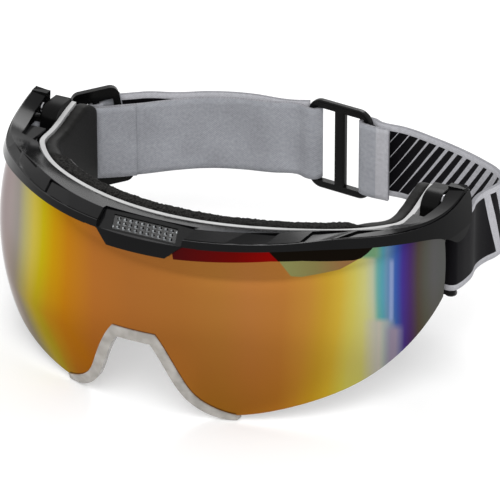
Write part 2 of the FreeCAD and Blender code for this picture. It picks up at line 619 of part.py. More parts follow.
def temple_pad():
    """Soft pad inside the temple end of the carrier."""
    band = carrier_band(-CARRIER_WALL - SEAT_GAP, PAD_THICKNESS, PAD_REAR_Y)
    keep = Part.makeBox(CARRIER_HALF_WIDTH, PAD_REAR_Y - FOAM_END_Y + 5, 80,
                        Vector(CARRIER_HALF_WIDTH / 2, FOAM_END_Y + SEAT_GAP, -30))
    pad = one_solid(band.common(keep).common(carrier_side_prism(0.0, 0.3)))
    fall = curve([(0, CARRIER_REAR_Y - 2.5, CARRIER_TOP_Z), (0, CARRIER_REAR_Y + 1.5, CARRIER_TOP_Z - 1.4),
                  (0, PAD_REAR_Y, CARRIER_TOP_Z - PAD_FALL), (0, PAD_REAR_Y + 4, CARRIER_TOP_Z - PAD_FALL - 4)])
    high = 2 * CARRIER_TOP_Z
    return one_solid(pad.cut(along_x(
        [fall.toShape(),
         Part.makeLine(Vector(0, CARRIER_REAR_Y - 2.5, CARRIER_TOP_Z), Vector(0, CARRIER_REAR_Y - 2.5, high)),
         Part.makeLine(Vector(0, CARRIER_REAR_Y - 2.5, high), Vector(0, PAD_REAR_Y + 4, high)),
         Part.makeLine(Vector(0, PAD_REAR_Y + 4, high),
                       Vector(0, PAD_REAR_Y + 4, CARRIER_TOP_Z - PAD_FALL - 4))])))


# ---------------------------------------------------------------- strap
def ribbon(points, bottom_z=STRAP_BOTTOM_Z, top_z=STRAP_TOP_Z, thickness=STRAP_THICKNESS):
    """Upright webbing that follows a plan path; both faces are offset from the path."""
    path = Part.BSplineCurve()
    path.interpolate([Vector(x, y, 0) for x, y in points])
    count = 5 * len(points)
    first, last = path.FirstParameter, path.LastParameter
    left, right = [], []
    for i in range(count + 1):
        t = first + (last - first) * i / count
        place, tangent = path.value(t), path.tangent(t)[0]
        normal = Vector(-tangent.y, tangent.x, 0) * (thickness / 2)
        left.append(place + normal)
        right.append(place - normal)
    sides = []
    for side in (left, right):
        spline = Part.BSplineCurve()
        spline.interpolate(side)
        sides.append(spline.toShape())
    ends = [Part.makeLine(left[0], right[0]), Part.makeLine(left[-1], right[-1])]
    face = closed_face(sides + ends)
    face.translate(Vector(0, 0, bottom_z))
    return face.extrude(Vector(0, 0, top_z - bottom_z))


def plan_view(points):
    """Places on a strap's path, given as drawn and set out for the bar's position."""
    return [(x * BAR_X / STRAP_DRAWN_X, y) for x, y in points]


def bar_fold(side, angles):
    """Plan points of the webbing's turn round a strap bar."""
    reach = BAR_RADIUS + STRAP_GAP + STRAP_THICKNESS / 2
    turns = [math.radians(a) for a in angles]
    return [(side * (BAR_X + reach * math.cos(a)), BAR_Y + reach * math.sin(a)) for a in turns]


def connector_place(u, v):
    """Plan point from a place along (u) and across (v) the connector."""
    a = math.radians(CONNECTOR_TILT)
    return (CONNECTOR_X + u * math.cos(a) - v * math.sin(a),
            CONNECTOR_Y + u * math.sin(a) + v * math.cos(a))


def connector_fold(side):
    """Fold of the webbing round an end bar of the connector, inner leg first."""
    bar = side * (CONNECTOR_LENGTH / 2 - CONNECTOR_BAR / 2)
    reach = math.hypot(CONNECTOR_BAR, CONNECTOR_THICKNESS) / 2 + STRAP_GAP + STRAP_THICKNESS / 2
    turn = []
    for degrees in (-90, -135, 180, 135, 90):
        a = math.radians(degrees)
        turn.append(connector_place(bar + side * reach * math.cos(a), reach * math.sin(a)))
    return turn


def strap_right():
    """Short printed strap: sewn round the right bar and round the connector."""
    fold = connector_fold(1.0)
    fold_end = connector_place(CONNECTOR_LENGTH / 2 + 7.5, -2.2)
    inner_leg = plan_view([(82.7, 3.6), (81.75, -7.0)])
    outer = plan_view([(86.9, -5.6), (86.7, -1.5), (85.3, 5.0), (85.9, 11.5), (87.6, 17.5),
                       (87.2, 23.4), (82.6, 28.4), (75.0, 32.6), (63.0, 37.4), (50.0, 41.2), (38.5, 43.6)])
    join = [connector_place(CONNECTOR_LENGTH / 2 + 3.0, 1.6)]
    wrap = bar_fold(1, (180, 220, 270, 320, 0))
    return ribbon(inner_leg + wrap + outer + join + fold[::-1] + [fold_end])


def strap_left():
    """Long strap: sewn round the left bar, past the pad, to the connector and back outside."""
    outer_leg = plan_view([(-80.0, 3.2), (-82.6, 0.9), (-85.0, -2.4), (-86.2, -6.4)])
    inner_leg = plan_view([(-81.75, -7.0), (-80.3, -1.2), (-75.6, 2.8), (-69.4, 6.8), (-62.5, 11.6),
                           (-55.5, 17.2), (-46.8, 25.2), (-37.0, 32.4), (-26.0, 37.2), (-14.0, 40.4)])
    join = [connector_place(-CONNECTOR_LENGTH / 2 - 4.0, -1.9)]
    wrap = bar_fold(-1, (0, 320, 270, 220, 170))
    return ribbon(outer_leg + wrap + inner_leg + join + connector_fold(-1.0))


def slider_place(u, v):
    """Plan point from a place along the strap (u) and outwards (v) from the slider's middle."""
    a = math.radians(SLIDER_TURN)
    return (SLIDER_X + u * math.cos(a) - v * math.sin(a),
            SLIDER_Y + u * math.sin(a) + v * math.cos(a))


def hung_askew(shape):
    """Tips the slider or its loop in the slider's own plane."""
    a = math.radians(SLIDER_TURN)
    shape.rotate(Vector(SLIDER_X, SLIDER_Y, STRAP_MID_Z), Vector(math.sin(a), -math.cos(a), 0), SLIDER_TILT)
    return shape


def webbing_layer(number):
    """Distance of the middle of the nth layer of webbing from the slider's middle."""
    return SLIDER_THICKNESS / 2 + STRAP_GAP + STRAP_THICKNESS / 2 + (number - 1) * (
        STRAP_THICKNESS + STRAP_GAP)


def slider_loop():
    """Fold of webbing sewn round the slider's middle bar; both legs lie outside its end bar."""
    near, far = webbing_layer(1), webbing_layer(2)
    side = SLIDER_BAR / 2 + STRAP_GAP + STRAP_THICKNESS / 2 + 0.2
    path = [(9.6, near), (7.2, near), (4.6, near - 0.5), (side, -0.2), (side * 0.8, -1.4), (0, -near),
            (-side * 0.8, -1.4), (-side, 0.2), (-side * 0.55, near + 0.1), (1.2, far), (4.8, far + 0.05),
            (7.4, far), (9.6, far)]
    return hung_askew(ribbon([slider_place(u, v) for u, v in path]))


def strap_tail():
    """Outer layer that comes back from the connector and lies on the slider's loop."""
    outside = webbing_layer(3) + SEAT_GAP
    start = connector_place(-CONNECTOR_LENGTH / 2 - 1.5, 2.6)
    end = [slider_place(u, outside) for u in (17.5, 13.5, 9.0, 4.5)]
    middle = plan_view([(-9.0, 44.8), (-24.5, 42.6), (-37.5, 37.8), (-48.5, 31.0)])
    return ribbon([start] + middle + end)


def rounded_plate(length, height, thickness, corner):
    plate = Part.makeBox(length, thickness, height, Vector(-length / 2, -thickness / 2, -height / 2))
    corners = [e for e in plate.Edges if len(e.Vertexes) == 2
               and abs(e.Vertexes[0].Y - e.Vertexes[1].Y) > thickness * 0.9]
    return plate.makeFillet(corner, corners)


def connector_ring():
    """Moulded three-bar connector that joins the two straps."""
    plate = rounded_plate(CONNECTOR_LENGTH, CONNECTOR_HEIGHT, CONNECTOR_THICKNESS, CONNECTOR_CORNER)
    slot_height = STRAP_WIDTH + 1.2
    slot_length = (CONNECTOR_LENGTH - CONNECTOR_MIDDLE) / 2 - CONNECTOR_BAR
    for side in (-1, 1):
        x = side * (CONNECTOR_MIDDLE / 2 + slot_length / 2) - slot_length / 2
        slot = Part.makeBox(slot_length, 10, slot_height, Vector(x, -5, -slot_height / 2))
        plate = plate.cut(slot)
    rail = (CONNECTOR_HEIGHT - slot_height) / 2
    corner_wall = CONNECTOR_CORNER - math.hypot(CONNECTOR_CORNER - CONNECTOR_BAR, CONNECTOR_CORNER - rail)
    softened = min(0.7, 0.4 * corner_wall)
    plate = plate.makeFillet(softened, [e for e in plate.Edges if len(e.Vertexes) == 2
                                        and abs(e.Vertexes[0].X - e.Vertexes[1].X) < 0.01
                                        and abs(e.Vertexes[0].Y - e.Vertexes[1].Y) < 0.01])
    plate.rotate(Vector(0, 0, 0), Vector(0, 0, 1), CONNECTOR_TILT)
    plate.translate(Vector(CONNECTOR_X, CONNECTOR_Y, STRAP_MID_Z))
    return one_solid(plate)


def strap_slider():
    """Tri-glide behind the left temple, with the sewn loop round its middle bar."""
    plate = rounded_plate(SLIDER_LENGTH, SLIDER_HEIGHT, SLIDER_THICKNESS, 3.4)
    slot_height = STRAP_WIDTH + 1.4
    slot_length = (SLIDER_LENGTH - 3 * SLIDER_BAR) / 2
    for side in (-1, 1):
        x = side * (SLIDER_BAR / 2 + slot_length / 2) - slot_length / 2
        plate = plate.cut(Part.makeBox(slot_length, 10, slot_height,
                                       Vector(x, -5, -slot_height / 2)))
    plate = plate.makeFillet(0.7, [e for e in plate.Edges if len(e.Vertexes) == 2
                                   and abs(e.Vertexes[0].X - e.Vertexes[1].X) < 0.01
                                   and abs(abs(e.Vertexes[0].X) - SLIDER_BAR / 2) < 0.01
                                   and e.Length > slot_height * 0.9])
    plate.rotate(Vector(0, 0, 0), Vector(0, 0, 1), SLIDER_TURN)
    plate.translate(Vector(SLIDER_X, SLIDER_Y, STRAP_MID_Z))
    return hung_askew(one_solid(plate))


# ---------------------------------------------------------------- all pieces
def main():
    os.makedirs("parts", exist_ok=True)
    lens_solid = lens()
    save("visor_shell", visor_shell())
    save("vent_grille", vent_grille())
    save("lens", lens_solid)
    save("nose_trim", nose_trim(lens_solid))
    save("lens_retainer", *lens_retainer())
    screws = []
    for place in screw_places():
        screw = temple_screw()
        screw.translate(place)
        screws += [screw, mirrored(screw)]
    save("carrier_frame", one_solid(carrier_frame().cut(screws)))
    block, pad = one_solid(temple_block().cut(screws[0::2])), temple_pad()
    for side, place in (("right", lambda s: s), ("left", mirrored)):
        save("temple_block_" + side, place(block))
        save("hinge_pin_" + side, place(hinge_pin()))
        save("friction_washer_" + side, place(friction_washer()))
        save("strap_bar_" + side, place(strap_bar()))
        save("temple_pad_" + side, place(pad))
    save("temple_screws", *screws)
    save("brow_foam", brow_foam())
    save("face_lining", face_lining())
    save("strap_right", strap_right())
    save("strap_left", strap_left())
    save("strap_tail", strap_tail())
    save("connector_ring", connector_ring())
    save("strap_slider", strap_slider())
    save("slider_loop", slider_loop())


main()
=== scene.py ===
import math

import bmesh
import bpy
from mathutils import Matrix, Vector


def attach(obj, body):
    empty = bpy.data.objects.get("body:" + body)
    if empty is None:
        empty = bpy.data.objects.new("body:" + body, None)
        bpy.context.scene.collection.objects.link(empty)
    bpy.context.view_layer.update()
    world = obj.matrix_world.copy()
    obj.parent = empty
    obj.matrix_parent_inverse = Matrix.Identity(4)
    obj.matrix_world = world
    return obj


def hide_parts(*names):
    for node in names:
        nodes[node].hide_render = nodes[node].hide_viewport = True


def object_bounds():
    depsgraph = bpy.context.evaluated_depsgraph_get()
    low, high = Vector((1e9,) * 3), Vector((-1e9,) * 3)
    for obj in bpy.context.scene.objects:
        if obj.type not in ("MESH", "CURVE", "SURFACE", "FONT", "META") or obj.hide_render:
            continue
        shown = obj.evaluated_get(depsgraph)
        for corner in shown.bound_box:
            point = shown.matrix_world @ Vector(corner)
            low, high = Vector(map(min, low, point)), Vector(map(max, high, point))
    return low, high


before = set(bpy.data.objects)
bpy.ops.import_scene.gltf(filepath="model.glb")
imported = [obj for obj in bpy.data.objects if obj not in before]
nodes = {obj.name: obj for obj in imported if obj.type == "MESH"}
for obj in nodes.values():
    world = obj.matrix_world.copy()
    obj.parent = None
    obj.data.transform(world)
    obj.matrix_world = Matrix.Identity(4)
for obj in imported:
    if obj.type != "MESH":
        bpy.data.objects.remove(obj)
cad_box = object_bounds()


# ---------------------------------------------------------------------------
# Camera
# It stands in front of the wearer's face, to the side of the long end of the
# brow and well above it, far enough away for a flat view.
# ---------------------------------------------------------------------------
toward_camera = Vector((0.4117, -0.7875, 0.4586))
aim = Vector((0.00101, -0.00582, -0.0109))
camera_distance = 2.0
seen_width = 0.18037518         # of the view, at the goggles
camera_data = bpy.data.cameras.new("camera")
camera_data.lens = camera_data.sensor_width * camera_distance / seen_width
camera = bpy.data.objects.new("camera", camera_data)
camera.location = aim + camera_distance * toward_camera
camera.rotation_euler = toward_camera.to_track_quat("Z", "Y").to_euler()
bpy.context.scene.collection.objects.link(camera)
bpy.context.scene.camera = camera
bpy.context.scene.view_settings.view_transform = "Standard"


# ---------------------------------------------------------------------------
# Floor, lamps and surroundings
# A white studio table under the goggles, a broad soft lamp over the front and
# a smaller one behind, with pale walls all round for the mirror to show.
# ---------------------------------------------------------------------------
wall_light = 0.7
floor_light = 0.18
floor_half_width = 3.0
floor_gap = 0.0002


def object_from(name, build, *materials):
    """Makes an object from a filled bmesh and gives it its materials."""
    mesh = bpy.data.meshes.new(name)
    build.to_mesh(mesh)
    build.free()
    made = bpy.data.objects.new(name, mesh)
    bpy.context.scene.collection.objects.link(made)
    for material in materials:
        mesh.materials.append(material)
    return made


def new_finish(name, roughness=0.5, metallic=0.0, specular=0.5):
    """Starts a material and hands back its node tree and its shader too."""
    material = bpy.data.materials.new(name)
    material.use_nodes = True
    shader = material.node_tree.nodes["Principled BSDF"]
    shader.inputs["Roughness"].default_value = roughness
    shader.inputs["Metallic"].default_value = metallic
    shader.inputs["Specular IOR Level"].default_value = specular
    return material, material.node_tree, shader


def math_node(tree, operation, first, second=None):
    node = tree.nodes.new("ShaderNodeMath")
    node.operation = operation
    for socket, value in zip(node.inputs, (first, second)):
        if isinstance(value, (int, float)):
            socket.default_value = value
        elif value is not None:
            tree.links.new(value, socket)
    return node.outputs[0]


def span(tree, value, start, end, low=0.0, high=1.0):
    """Turns a value's stretch from start to end into low to high, and holds it beyond."""
    node = tree.nodes.new("ShaderNodeMapRange")
    sockets = ("From Min", "From Max", "To Min", "To Max")
    for socket, number in zip(sockets, (start, end, low, high)):
        node.inputs[socket].default_value = number
    tree.links.new(value, node.inputs["Value"])
    return node.outputs["Result"]


def seen_background(tree):
    """1 for the rays that show the background: direct, mirrored or through clear plastic."""
    path = tree.nodes.new("ShaderNodeLightPath").outputs
    mirrored = math_node(tree, "MAXIMUM", path["Is Camera Ray"], path["Is Glossy Ray"])
    return math_node(tree, "MAXIMUM", mirrored, path["Is Transmission Ray"])


world = bpy.data.worlds.new("studio")
bpy.context.scene.world = world
world.use_nodes = True
tree = world.node_tree
background = tree.nodes["Background"]
background.inputs["Color"].default_value = (1, 1, 1, 1)
brightness = span(tree, seen_background(tree), 0.0, 1.0, low=wall_light)
tree.links.new(brightness, background.inputs["Strength"])

floor_white, tree, shader = new_finish("floor_white", roughness=0.9, specular=0.0)
shader.inputs["Base Color"].default_value = (0.85, 0.85, 0.85, 1)
shader.inputs["Emission Color"].default_value = (1, 1, 1, 1)
lift = math_node(tree, "MULTIPLY", seen_background(tree), floor_light)
tree.links.new(lift, shader.inputs["Emission Strength"])
build = bmesh.new()
bmesh.ops.create_grid(build, x_segments=1, y_segments=1, size=floor_half_width)
bmesh.ops.translate(build, verts=build.verts, vec=(0, 0, cad_box[0][2] - floor_gap))
floor = object_from("floor", build, floor_white)


def soft_lamp(name, place, size, power):
    """A square lamp that looks at the goggles."""
    lamp_data = bpy.data.lights.new(name, "AREA")
    lamp_data.size = size
    lamp_data.energy = power
    lamp = bpy.data.objects.new(name, lamp_data)
    lamp.location = place
    lamp.rotation_euler = Vector(place).to_track_quat("Z", "Y").to_euler()
    bpy.context.scene.collection.objects.link(lamp)
    return lamp


soft_lamp("lamp_front", (0.5, -1.1, 1.1), 1.2, 17).visible_glossy = False
soft_lamp("lamp_back", (-0.29, 1.08, 1.0), 0.62, 7)


# ---------------------------------------------------------------------------
# Lens
# One piece of polycarbonate, a patch of a sphere, with a vacuum mirror coating
# that runs from rose and green at one side through amber to blue and violet.
# Its bare inner face is a smoky amber.
# ---------------------------------------------------------------------------
coat_metal = 0.9
coat_reach = 0.0911                     # from the sphere's centre, just under its outer face
coat_start, coat_end = -0.092, 0.070
coat_run = (0.886, 0.4633, 0)           # the way the colours follow each other
coat_rise = (-0.2125, 0.4064, 0.8886)   # up the slope of the coat
curl_level, curl_above, curl_below = -0.0116, -0.066, 0.45
sag_level, sag_slope = 0.0167, -0.15


def linear(colour):
    """Turns a colour written as six hex digits into the numbers a shader takes."""
    parts = [int(colour[i:i + 2], 16) / 255 for i in (0, 2, 4)]
    return tuple(c / 12.92 if c < 0.04045 else ((c + 0.055) / 1.055) ** 2.4 for c in parts) + (1.0,)


def object_place(tree):
    return tree.nodes.new("ShaderNodeTexCoord").outputs["Object"]


def vector_node(tree, operation, vector, other=None):
    node = tree.nodes.new("ShaderNodeVectorMath")
    node.operation = operation
    tree.links.new(vector, node.inputs[0])
    if other is not None:
        node.inputs[1].default_value = other
    return node.outputs["Value"]


def parts_of(tree, vector):
    """The three parts of a vector, by name."""
    node = tree.nodes.new("ShaderNodeSeparateXYZ")
    tree.links.new(vector, node.inputs[0])
    return node.outputs


def noise(tree, place, scale, detail):
    node = tree.nodes.new("ShaderNodeTexNoise")
    node.inputs["Scale"].default_value = scale
    node.inputs["Detail"].default_value = detail
    tree.links.new(place, node.inputs["Vector"])
    return node.outputs["Fac"]


def colour_ramp(tree, value, stops):
    ramp = tree.nodes.new("ShaderNodeValToRGB")
    elements = ramp.color_ramp.elements
    while len(elements) < len(stops):
        elements.new(0.5)
    for element, (place, colour) in zip(elements, stops):
        element.position = place
        element.color = colour if isinstance(colour, tuple) else linear(colour)
    tree.links.new(value, ramp.inputs["Fac"])
    return ramp.outputs["Color"]


def lay(tree, mask, colour, below, blend="MIX"):
    """Lays a colour over the one below where the mask is 1."""
    mix = tree.nodes.new("ShaderNodeMix")
    mix.data_type = "RGBA"
    mix.blend_type = blend
    tree.links.new(below, mix.inputs["A"])
    for socket, value in (("Factor", mask), ("B", colour)):
        if isinstance(value, float):
            mix.inputs[socket].default_value = value
        elif isinstance(value, str):
            mix.inputs[socket].default_value = linear(value)
        else:
            tree.links.new(value, mix.inputs[socket])
    return mix.outputs["Result"]


def give(material, *names):
    """Puts a material on CAD nodes as they are."""
    for name in names:
        nodes[name].data.materials.clear()
        nodes[name].data.materials.append(material)


mirror_coat, tree, shader = new_finish("mirror_coat", roughness=0.1, metallic=coat_metal)
shader.inputs["Specular Tint"].default_value = (0.45, 0.4, 0.4, 1)
place = object_place(tree)
across = vector_node(tree, "DOT_PRODUCT", place, coat_run)
rise = vector_node(tree, "DOT_PRODUCT", place, coat_rise)
sides = parts_of(tree, place)
height = sides["Z"]
turn = math_node(tree, "ARCTAN2", sides["X"], math_node(tree, "MULTIPLY", sides["Y"], -1.0))

# The colours drift by a few millimetres, curl at the outer end and sag where
# the amber turns yellow.
drift = math_node(tree, "MULTIPLY",
                  math_node(tree, "SUBTRACT", noise(tree, place, 14.0, 1.0), 0.5), 0.006)
above = math_node(tree, "SUBTRACT", height, curl_level)
over = math_node(tree, "MULTIPLY", math_node(tree, "MAXIMUM", above, 0.0), curl_above)
under = math_node(tree, "MULTIPLY", math_node(tree, "MINIMUM", above, 0.0), curl_below)
curl = math_node(tree, "MULTIPLY", math_node(tree, "ADD", over, under),
                 span(tree, across, -0.050, -0.070))
lower = math_node(tree, "MINIMUM", math_node(tree, "SUBTRACT", height, sag_level), 0.0)
sag = math_node(tree, "MULTIPLY", lower, sag_slope)
for edge, full in ((0.0, 0.015), (0.040, 0.032)):
    sag = math_node(tree, "MULTIPLY", sag, span(tree, across, edge, full))
bent = math_node(tree, "ADD", drift, math_node(tree, "ADD", curl, sag))
along = span(tree, math_node(tree, "ADD", across, bent), coat_start, coat_end)

coat_colours = [
    (-89.3, "AFA6A4"), (-85.9, "99958E"), (-83.0, "ACA66E"), (-79.9, "BBAA46"), (-76.8, "B19F11"),
    (-73.1, "B28606"), (-67.9, "AC6F0F"), (-57.8, "9D5F24"), (-43.6, "945B27"), (-26.0, "925C27"),
    (-12.1, "94612A"), (-1.7, "99622F"), (10.4, "9C652C"), (19.1, "A4732D"), (25.3, "A98428"),
    (30.2, "B19431"), (35.1, "B1A64E"), (38.6, "AFAC6C"), (41.4, "A2A78C"), (43.2, "5B928A"),
    (45.0, "488897"), (46.4, "5B7E99"), (49.9, "304D93"), (52.4, "3B2A78"), (54.9, "3F275B"),
    (57.8, "453B35"), (60.6, "494942"), (63.5, "4F4E4E"), (66.5, "4D4E4C")]
coat_length = coat_end - coat_start
coat = colour_ramp(tree, along, [((mm / 1000 - coat_start) / coat_length, colour)
                                 for mm, colour in coat_colours])
warmth = colour_ramp(tree, span(tree, height, -0.040, 0.020), [
    (0.05, (0.88, 0.86, 0.34, 1)), (0.42, (0.93, 0.88, 0.68, 1)), (0.83, (1, 1, 1, 1))])
coat = lay(tree, 1.0, warmth, coat, blend="MULTIPLY")


def coat_patch(start, end, below, above, side_soft=0.0015, soft=0.0007):
    """1 between two places along the coat and two levels of its slope, with soft borders."""
    inside = None
    for value, low, high, blur in ((across, start, end, side_soft), (rise, below, above, soft)):
        for edge, step in ((low, blur), (high, -blur)):
            part = span(tree, value, edge - step, edge + step)
            inside = part if inside is None else math_node(tree, "MULTIPLY", inside, part)
    return inside


# Painted reflections in the mirror coat: a green corner, pale and mauve patches at its foot, and a
# bluish streak from a softbox.
reflected_green_corner = coat_patch(0.0360, 0.0428, -0.0150, 0.01)
reflected_pale_foot = coat_patch(0.0400, 0.0460, -0.09, -0.0366, 0.0030, 0.0010)
reflected_mauve_foot = coat_patch(0.0460, 0.0506, -0.09, -0.0390, 0.0016, 0.0014)
reflected_streak = coat_patch(0.0466, 0.0480, -0.0368, -0.0158, 0.0004, 0.0010)
for mask, colour in ((reflected_green_corner, "68906B"), (reflected_pale_foot, "A19B8F"), (reflected_mauve_foot, "7E7384"),
                     (math_node(tree, "MULTIPLY", reflected_streak, 0.7), "8390B4")):
    coat = lay(tree, mask, colour, coat)


def coat_border(points):
    """Height of a border in the coat, in metres, from its places: plan degrees and millimetres."""
    first, last, base = 5, 60, 20
    stops = [((degrees - first) / (last - first), ((mm - base) / base,) * 3 + (1.0,))
             for degrees, mm in points]
    level = colour_ramp(tree, span(tree, turn, math.radians(first), math.radians(last)), stops)
    return math_node(tree, "ADD", math_node(tree, "MULTIPLY", level, base / 1000), base / 1000)


# Under the lip lies a painted reflection: a greenish haze, and over it a dark
# band painted as the lip's reflection, red at its inner half and nearly black
# beyond a slanted split.
reflected_haze_edge = coat_border([(32.9, 30.0), (33.0, 26.9), (35.5, 21.7), (37.8, 21.2), (46.7, 22.2),
                         (51.5, 24.6), (51.9, 31.0)])
reflected_haze_colour = colour_ramp(tree, along, [(0.64, "81814F"), (0.70, "7E7546"), (0.76, "8A643D")])
coat = lay(tree, math_node(tree, "GREATER_THAN", height, reflected_haze_edge), reflected_haze_colour, coat)
lip_reflection_edge = coat_border([(8.0, 31.0), (8.8, 25.7), (21.7, 26.5), (31.0, 27.0), (38.2, 26.6),
                         (50.3, 24.4), (51.9, 24.6), (53.8, 25.9), (55.5, 27.5)])
split = math_node(tree, "ADD", turn, math_node(tree, "MULTIPLY", height, math.radians(640)))
lip_reflection_red = colour_ramp(tree, turn, [(0.15, "420B0D"), (0.40, "620503"), (0.54, "7E0302")])
beyond_split = math_node(tree, "GREATER_THAN", split, math.radians(50.0))
lip_reflection_colour = lay(tree, beyond_split, "0F0A05", lip_reflection_red)
coat = lay(tree, math_node(tree, "GREATER_THAN", height, lip_reflection_edge), lip_reflection_colour, coat)

coated = math_node(tree, "GREATER_THAN", vector_node(tree, "LENGTH", place), coat_reach)
smoke = colour_ramp(tree, noise(tree, place, 30.0, 1.0), [(0.3, "3A2210"), (0.7, "4E3018")])
tree.links.new(lay(tree, coated, coat, smoke), shader.inputs["Base Color"])
tree.links.new(math_node(tree, "MULTIPLY", coated, coat_metal), shader.inputs["Metallic"])
give(mirror_coat, "lens")


# ---------------------------------------------------------------------------
# Nose trim
# A soft clear strip with a slot, pushed over the edge of the nose cut-out. It
# is smoky and lets some light through.
# ---------------------------------------------------------------------------
clear_trim, tree, shader = new_finish("clear_trim", roughness=0.25)
cloud = noise(tree, object_place(tree), 170.0, 2.0)
tree.links.new(colour_ramp(tree, cloud, [(0.36, "A8A49E"), (0.5, "B8B4AE"), (0.66, "C8C4BE")]),
               shader.inputs["Base Color"])
shader.inputs["Transmission Weight"].default_value = 0.35
shader.inputs["IOR"].default_value = 1.45
give(clear_trim, "nose_trim")


# ---------------------------------------------------------------------------
# Brow shell and lens retainer
# The shell is injection moulded in black nylon with a satin skin, and the
# retainer strip behind the lens is the same plastic left matt.
# ---------------------------------------------------------------------------
def raised(tree, shader, relief, strength, depth):
    """Gives the surface a fine relief."""
    bump = tree.nodes.new("ShaderNodeBump")
    bump.inputs["Strength"].default_value = strength
    bump.inputs["Distance"].default_value = depth
    tree.links.new(relief, bump.inputs["Height"])
    tree.links.new(bump.outputs["Normal"], shader.inputs["Normal"])


def dimmed(colour, share):
    return tuple(c * share for c in linear(colour)[:3]) + (1.0,)


def moulded_plastic(name, colour, roughness, specular, grain=0.00035, depth=0.00002):
    """Moulded plastic with a fine spark-eroded grain and slightly uneven gloss."""
    material, tree, shader = new_finish(name, roughness=roughness, specular=specular)
    place = object_place(tree)
    cloud = noise(tree, place, 60.0, 3.0)
    tint = colour_ramp(tree, cloud, [(0.35, dimmed(colour, 0.8)), (0.65, linear(colour))])
    tree.links.new(tint, shader.inputs["Base Color"])
    gloss = span(tree, cloud, 0.0, 1.0, roughness - 0.05, roughness + 0.05)
    tree.links.new(gloss, shader.inputs["Roughness"])
    raised(tree, shader, noise(tree, place, 1 / grain, 2.0), 0.35, depth)
    return material


satin_black = moulded_plastic("satin_black", "0A0A0B", 0.16, 0.12, depth=0.000006)
matt_black = moulded_plastic("matt_black", "101011", 0.55, 0.25)
give(satin_black, "visor_shell")
give(matt_black, "lens_retainer")


# ---------------------------------------------------------------------------
# Vent grille
# A moulded mesh plate clipped into its slot in the recess, black like the
# shell, with painted highlights on the crossings of the mesh.
# ---------------------------------------------------------------------------
mesh_pitch = 0.0023
mesh_middle_y = -0.0825
mesh_half_width = 0.0118
mesh_half_rows = 1.4
row_shift = 0.39                # of a pitch, from one row to the next


def away(tree, value, middle):
    """How far a value is from a middle one."""
    return math_node(tree, "ABSOLUTE", math_node(tree, "SUBTRACT", value, middle))


mesh_black, tree, shader = new_finish("mesh_black", roughness=0.3, specular=0.4)
place = object_place(tree)
sides = parts_of(tree, place)
row = math_node(tree, "DIVIDE", math_node(tree, "SUBTRACT", sides["Y"], mesh_middle_y), mesh_pitch)
column = math_node(tree, "ADD", math_node(tree, "DIVIDE", sides["X"], mesh_pitch),
                   math_node(tree, "MULTIPLY", row, row_shift))
column_wave = math_node(tree, "COSINE", math_node(tree, "MULTIPLY", column, 2 * math.pi))
row_wave = math_node(tree, "COSINE", math_node(tree, "MULTIPLY", row, 2 * math.pi))
# Painted highlights: the mesh crossings are coloured light grey where they would glint.
glinting_crossings = math_node(tree, "GREATER_THAN", math_node(tree, "SUBTRACT", row_wave, column_wave), 0.5)
for value, limit in ((sides["X"], mesh_half_width), (row, mesh_half_rows)):
    near = math_node(tree, "LESS_THAN", away(tree, value, 0.0), limit)
    glinting_crossings = math_node(tree, "MULTIPLY", glinting_crossings, near)
glint_and_tone_noise = noise(tree, place, 700.0, 2.0)
bright = colour_ramp(tree, glint_and_tone_noise, [(0.35, "7C7F82"), (0.65, "B9BDBF")])
bare = colour_ramp(tree, glint_and_tone_noise, [(0.3, "090909"), (0.7, "121213")])
tree.links.new(lay(tree, glinting_crossings, bright, bare), shader.inputs["Base Color"])
give(mesh_black, "vent_grille")


# ---------------------------------------------------------------------------
# Carrier frame and temple blocks
# The carrier is a bent band of pale grey nylon whose edge shows as a light
# line; black blocks screwed to its ends hold the hinge and the strap bars.
# ---------------------------------------------------------------------------
pale_nylon = moulded_plastic("pale_nylon", "BEBEBE", 0.5, 0.3)
block_black = moulded_plastic("block_black", "090909", 0.3, 0.09)
give(pale_nylon, "carrier_frame")
give(block_black, "temple_block_right", "temple_block_left")


# ---------------------------------------------------------------------------
# Hinge pins, washers, strap bars and screws
# Turned steel with fine marks: bright, except for the strap bars, which are
# blackened.
# ---------------------------------------------------------------------------
steel, tree, shader = new_finish("steel", roughness=0.28, metallic=1.0)
marks = noise(tree, object_place(tree), 900.0, 2.0)
bright_steel = colour_ramp(tree, marks, [(0.3, "8C8C90"), (0.7, "B4B4B6")])
tree.links.new(bright_steel, shader.inputs["Base Color"])
give(steel, "hinge_pin_right", "hinge_pin_left", "friction_washer_right", "friction_washer_left",
     "temple_screws")
black_steel = moulded_plastic("black_steel", "0C0C0C", 0.35, 0.4, grain=0.0006)
give(black_steel, "strap_bar_right", "strap_bar_left")


# ---------------------------------------------------------------------------
# Brow foam
# A thick strip of open-cell black foam glued inside the carrier over the
# forehead, soft at its corners and fuzzy where it is cut.
# ---------------------------------------------------------------------------
def merged_copy(node):
    """The node's shape as one closed mesh."""
    build = bmesh.new()
    build.from_mesh(nodes[node].data)
    bmesh.ops.remove_doubles(build, verts=build.verts, dist=0.000002)
    return build


def soft_solid(name, node, cell, rounds, material):
    """Soft body of a node: an even skin whose corners are smoothed round."""
    source = object_from(name + "_source", merged_copy(node))
    skin = source.modifiers.new("skin", "REMESH")
    skin.mode = "VOXEL"
    skin.voxel_size = cell
    bpy.context.view_layer.update()
    evaluated = source.evaluated_get(bpy.context.evaluated_depsgraph_get())
    build = bmesh.new()
    build.from_mesh(bpy.data.meshes.new_from_object(evaluated))
    bpy.data.objects.remove(source)
    for _ in range(rounds):
        bmesh.ops.smooth_vert(build, verts=build.verts, factor=0.5, use_axis_x=True,
                              use_axis_y=True, use_axis_z=True)
    for face in build.faces:
        face.smooth = True
    return object_from(name, build, material)


